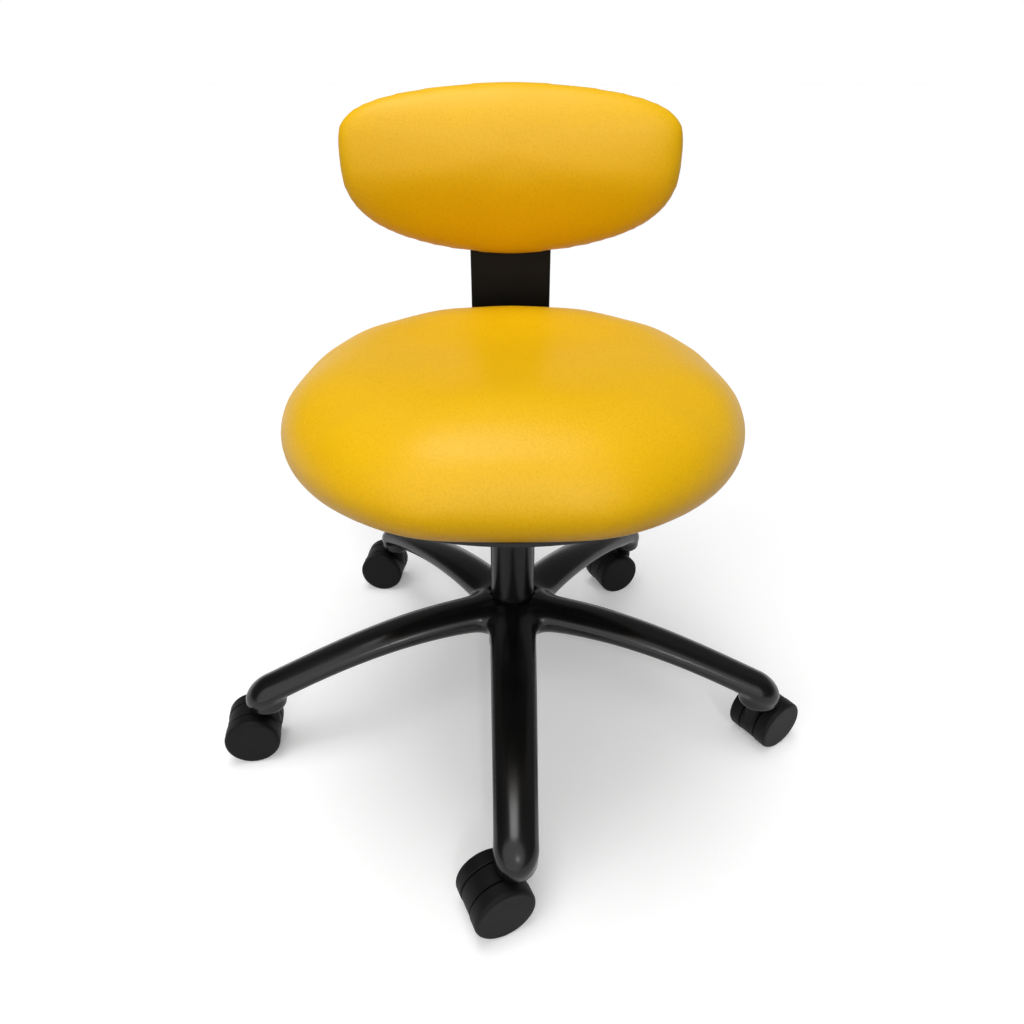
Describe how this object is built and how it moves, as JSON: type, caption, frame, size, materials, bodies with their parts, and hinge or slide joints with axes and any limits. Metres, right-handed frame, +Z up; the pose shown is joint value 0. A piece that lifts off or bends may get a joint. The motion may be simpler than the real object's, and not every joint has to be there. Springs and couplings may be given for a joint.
{
  "type": "clinical operator chair",
  "caption": "Swivel operator chair with an oval padded seat, a low wrapped backrest on a flat upright, a gas lift and a star base on twin-wheel casters.",
  "frame": {"origin": "point on the floor under the lift column, with all wheels on the floor", "axes": "+Z up along the lift column, -Y the way the sitter faces, +X to the right of a viewer who faces the chair"},
  "size_m": [0.6609, 0.6002, 0.67],
  "materials": {
    "base_casting": "satin",
    "column_paint": "satin",
    "caster_nylon": "satin",
    "plain_steel": "satin",
    "bush_nylon": "satin",
    "buffer_rubber": "matte",
    "mechanism_paint": "satin",
    "bar_paint": "satin",
    "grip_plastic": "satin",
    "shell_plastic": "satin",
    "leatherette": "satin",
    "plywood": "matte"
  },
  "bodies": {
    "base": {"five_star_base": "base_casting", "caster_stems": "plain_steel", "stem_grip_rings": "plain_steel", "column_outer_tube": "column_paint", "column_guide_bush": "bush_nylon", "rod_thrust_bearing": "plain_steel"},
    "piston": {"piston_rod": "plain_steel", "piston": "plain_steel", "rubber_buffer": "buffer_rubber", "rod_clip": "plain_steel"},
    "seat": {"gas_cylinder": "plain_steel", "rod_guide": "bush_nylon", "taper_socket": "plain_steel", "mechanism_housing": "mechanism_paint", "seat_plate": "mechanism_paint", "seat_bolts": "plain_steel", "lever_bracket": "plain_steel", "lever_pivot_pin": "plain_steel", "recline_lock_shoe": "plain_steel", "back_hinge_pin": "plain_steel", "hinge_pin_clip": "plain_steel", "seat_underside_cover": "shell_plastic", "seat_board": "plywood", "seat_cushion": "leatherette"},
    "release_pin": {"release_pin": "plain_steel"},
    "height_lever": {"height_lever": "plain_steel", "height_lever_grip": "grip_plastic"},
    "recline_lever": {"recline_lever": "plain_steel", "recline_cam": "plain_steel", "recline_lever_grip": "grip_plastic"},
    "back_arm": {"back_hinge_block": "mechanism_paint", "back_bar": "bar_paint", "back_bar_bolts": "plain_steel"},
    "backrest": {"slider_bracket": "mechanism_paint", "backrest_screws": "plain_steel", "backrest_shell": "shell_plastic", "backrest_cushion": "leatherette"},
    "clamp": {"clamp_knob": "grip_plastic", "clamp_stud": "plain_steel"},
    "caster_front": {"caster_hood_front": "caster_nylon", "caster_axle_front": "plain_steel"},
    "wheel_a_front": {"caster_wheel_a_front": "caster_nylon"},
    "wheel_b_front": {"caster_wheel_b_front": "caster_nylon"},
    "caster_right": {"caster_hood_right": "caster_nylon", "caster_axle_right": "plain_steel"},
    "wheel_a_right": {"caster_wheel_a_right": "caster_nylon"},
    "wheel_b_right": {"caster_wheel_b_right": "caster_nylon"},
    "caster_back_right": {"caster_hood_back_right": "caster_nylon", "caster_axle_back_right": "plain_steel"},
    "wheel_a_back_right": {"caster_wheel_a_back_right": "caster_nylon"},
    "wheel_b_back_right": {"caster_wheel_b_back_right": "caster_nylon"},
    "caster_back_left": {"caster_hood_back_left": "caster_nylon", "caster_axle_back_left": "plain_steel"},
    "wheel_a_back_left": {"caster_wheel_a_back_left": "caster_nylon"},
    "wheel_b_back_left": {"caster_wheel_b_back_left": "caster_nylon"},
    "caster_left": {"caster_hood_left": "caster_nylon", "caster_axle_left": "plain_steel"},
    "wheel_a_left": {"caster_wheel_a_left": "caster_nylon"},
    "wheel_b_left": {"caster_wheel_b_left": "caster_nylon"}
  },
  "joints": [
    {"name": "seat_swivel", "type": "hinge", "parent": "base", "child": "piston", "pos_m": [0, 0, 0.08], "axis": [0, 0, 1], "continuous": true},
    {"name": "seat_height", "type": "slide", "parent": "piston", "child": "seat", "axis": [0, 0, 1], "range_m": [0, 0.13]},
    {"name": "height_lever_lift", "type": "hinge", "parent": "seat", "child": "height_lever", "pos_m": [0.026, 0, 0.3395], "axis": [0, -1, 0], "range_deg": [0, 8], "stiffness_Nm_per_rad": 3, "springref_deg": -5.73},
    {"name": "release_pin_press", "type": "slide", "parent": "seat", "child": "release_pin", "axis": [0, 0, -1], "range_m": [0, 0.004]},
    {"name": "back_recline", "type": "hinge", "parent": "seat", "child": "back_arm", "pos_m": [0, 0.08, 0.325], "axis": [-1, 0, 0], "range_deg": [-4, 16]},
    {"name": "recline_lever_turn", "type": "hinge", "parent": "seat", "child": "recline_lever", "pos_m": [0, 0.04, 0.33], "axis": [1, 0, 0], "range_deg": [-15, 15]},
    {"name": "backrest_height", "type": "slide", "parent": "back_arm", "child": "backrest", "axis": [0, 0, 1], "range_m": [-0.03, 0.04]},
    {"name": "clamp_knob_turn", "type": "hinge", "parent": "backrest", "child": "clamp", "pos_m": [0, 0.245, 0.58], "axis": [0, 1, 0], "range_deg": [-180, 180]},
    {"name": "caster_swivel_front", "type": "hinge", "parent": "base", "child": "caster_front", "pos_m": [0, -0.29, 0.06], "axis": [0, 0, 1], "continuous": true},
    {"name": "wheel_spin_a_front", "type": "hinge", "parent": "caster_front", "child": "wheel_a_front", "pos_m": [-0.01918, -0.29854, 0.03], "axis": [-0.4067, 0.9135, 0], "continuous": true},
    {"name": "wheel_spin_b_front", "type": "hinge", "parent": "caster_front", "child": "wheel_b_front", "pos_m": [-0.01918, -0.29854, 0.03], "axis": [-0.4067, 0.9135, 0], "continuous": true},
    {"name": "caster_swivel_right", "type": "hinge", "parent": "base", "child": "caster_right", "pos_m": [0.27581, -0.08962, 0.06], "axis": [0, 0, 1], "continuous": true},
    {"name": "wheel_spin_a_right", "type": "hinge", "parent": "caster_right", "child": "wheel_a_right", "pos_m": [0.29342, -0.07818, 0.03], "axis": [0.5446, -0.8387, 0], "continuous": true},
    {"name": "wheel_spin_b_right", "type": "hinge", "parent": "caster_right", "child": "wheel_b_right", "pos_m": [0.29342, -0.07818, 0.03], "axis": [0.5446, -0.8387, 0], "continuous": true},
    {"name": "caster_swivel_back_right", "type": "hinge", "parent": "base", "child": "caster_back_right", "pos_m": [0.17046, 0.23461, 0.06], "axis": [0, 0, 1], "continuous": true},
    {"name": "wheel_spin_a_back_right", "type": "hinge", "parent": "caster_back_right", "child": "wheel_a_back_right", "pos_m": [0.15127, 0.22607, 0.03], "axis": [-0.4067, 0.9135, 0], "continuous": true},
    {"name": "wheel_spin_b_back_right", "type": "hinge", "parent": "caster_back_right", "child": "wheel_b_back_right", "pos_m": [0.15127, 0.22607, 0.03], "axis": [-0.4067, 0.9135, 0], "continuous": true},
    {"name": "caster_swivel_back_left", "type": "hinge", "parent": "base", "child": "caster_back_left", "pos_m": [-0.17046, 0.23461, 0.06], "axis": [0, 0, 1], "continuous": true},
    {"name": "wheel_spin_a_back_left", "type": "hinge", "parent": "caster_back_left", "child": "wheel_a_back_left", "pos_m": [-0.19134, 0.23681, 0.03], "axis": [0.1045, 0.9945, 0], "continuous": true},
    {"name": "wheel_spin_b_back_left", "type": "hinge", "parent": "caster_back_left", "child": "wheel_b_back_left", "pos_m": [-0.19134, 0.23681, 0.03], "axis": [0.1045, 0.9945, 0], "continuous": true},
    {"name": "caster_swivel_left", "type": "hinge", "parent": "base", "child": "caster_left", "pos_m": [-0.27581, -0.08962, 0.06], "axis": [0, 0, 1], "continuous": true},
    {"name": "wheel_spin_a_left", "type": "hinge", "parent": "caster_left", "child": "wheel_a_left", "pos_m": [-0.29655, -0.0929, 0.03], "axis": [-0.1564, 0.9877, 0], "continuous": true},
    {"name": "wheel_spin_b_left", "type": "hinge", "parent": "caster_left", "child": "wheel_b_left", "pos_m": [-0.29655, -0.0929, 0.03], "axis": [-0.1564, 0.9877, 0], "continuous": true}
  ],
  "couplings": [
    {"joint": "release_pin_press", "follows": "height_lever_lift", "m_per_rad": 0.028}
  ]
}
